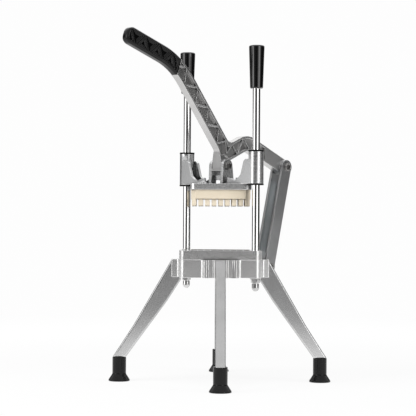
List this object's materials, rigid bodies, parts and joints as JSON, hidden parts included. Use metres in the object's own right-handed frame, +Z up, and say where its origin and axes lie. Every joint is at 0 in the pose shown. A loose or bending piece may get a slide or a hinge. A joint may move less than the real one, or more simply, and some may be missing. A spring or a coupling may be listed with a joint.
{
  "type": "french fry cutter",
  "caption": "Lever-operated potato cutter on splayed legs: a pegged block slides down guide rods and presses food through a grid of crossed blades.",
  "frame": {"origin": "on the floor, under the middle of the blade grid, between the guide rods", "axes": "+Z up along the guide rods, -Y towards the user and the grip, +X to the user's right"},
  "size_m": [0.2368, 0.3302, 0.4973],
  "materials": {
    "cast_base": "satin cast, polished corners",
    "cast_legs": "satin cast, bright edges",
    "cast_frame": "rough sand cast, polished corners",
    "cast_head": "satin cast",
    "cast_lever": "satin cast, darker pockets",
    "cast_link": "satin cast",
    "rod_chrome": "ground and plated",
    "blade_steel": "ground",
    "fastener_steel": "plated",
    "nut_chrome": "plated",
    "grip_black": "moulded, satin",
    "bushing_black": "turned, satin",
    "foot_rubber": "moulded",
    "block_cream": "moulded, semi-gloss"
  },
  "bodies": {
    "stand": {"base_casting": "cast_base", "front_left_leg": "cast_legs", "front_right_leg": "cast_legs", "rear_left_leg": "cast_legs", "rear_right_leg": "cast_legs", "front_left_foot": "foot_rubber", "front_right_foot": "foot_rubber", "rear_left_foot": "foot_rubber", "rear_right_foot": "foot_rubber", "leg_bolts": "fastener_steel", "blade_frame": "cast_frame", "upper_blades": "blade_steel", "lower_blades": "blade_steel", "blade_frame_screws": "nut_chrome", "left_guide_rod": "rod_chrome", "right_guide_rod": "rod_chrome", "left_rod_grip": "grip_black", "right_rod_grip": "grip_black", "rod_washers": "fastener_steel", "rod_nuts": "nut_chrome"},
    "press_head": {"head_casting": "cast_head", "upper_bushings": "bushing_black", "lower_bushings": "bushing_black", "sleeve_set_screws": "fastener_steel", "push_block": "block_cream", "push_block_screws": "fastener_steel", "lever_pivot_bolt": "fastener_steel", "lever_pivot_nut": "fastener_steel"},
    "lever": {"lever_arm": "cast_lever", "lever_grip": "grip_black"},
    "link": {"link_arm": "cast_link", "link_upper_bolt": "fastener_steel", "link_upper_nut": "fastener_steel", "link_lower_bolt": "fastener_steel", "link_lower_nut": "fastener_steel"}
  },
  "joints": [
    {"name": "head_slide", "type": "slide", "parent": "stand", "child": "press_head", "axis": [0, 0, -1], "range_m": [0, 0.071]},
    {"name": "lever_hinge", "type": "hinge", "parent": "press_head", "child": "lever", "pos_m": [0, 0, 0.3124], "axis": [1, 0, 0], "range_deg": [0, 35.2]},
    {"name": "link_hinge", "type": "hinge", "parent": "lever", "child": "link", "pos_m": [0, 0.1305, 0.3146], "axis": [1, 0, 0], "range_deg": [-25, 0]}
  ],
  "couplings": [
    {"joint": "lever_hinge", "follows": "head_slide", "rad_per_m": 8.6431},
    {"joint": "link_hinge", "follows": "head_slide", "rad_per_m": -6.1254}
  ]
}
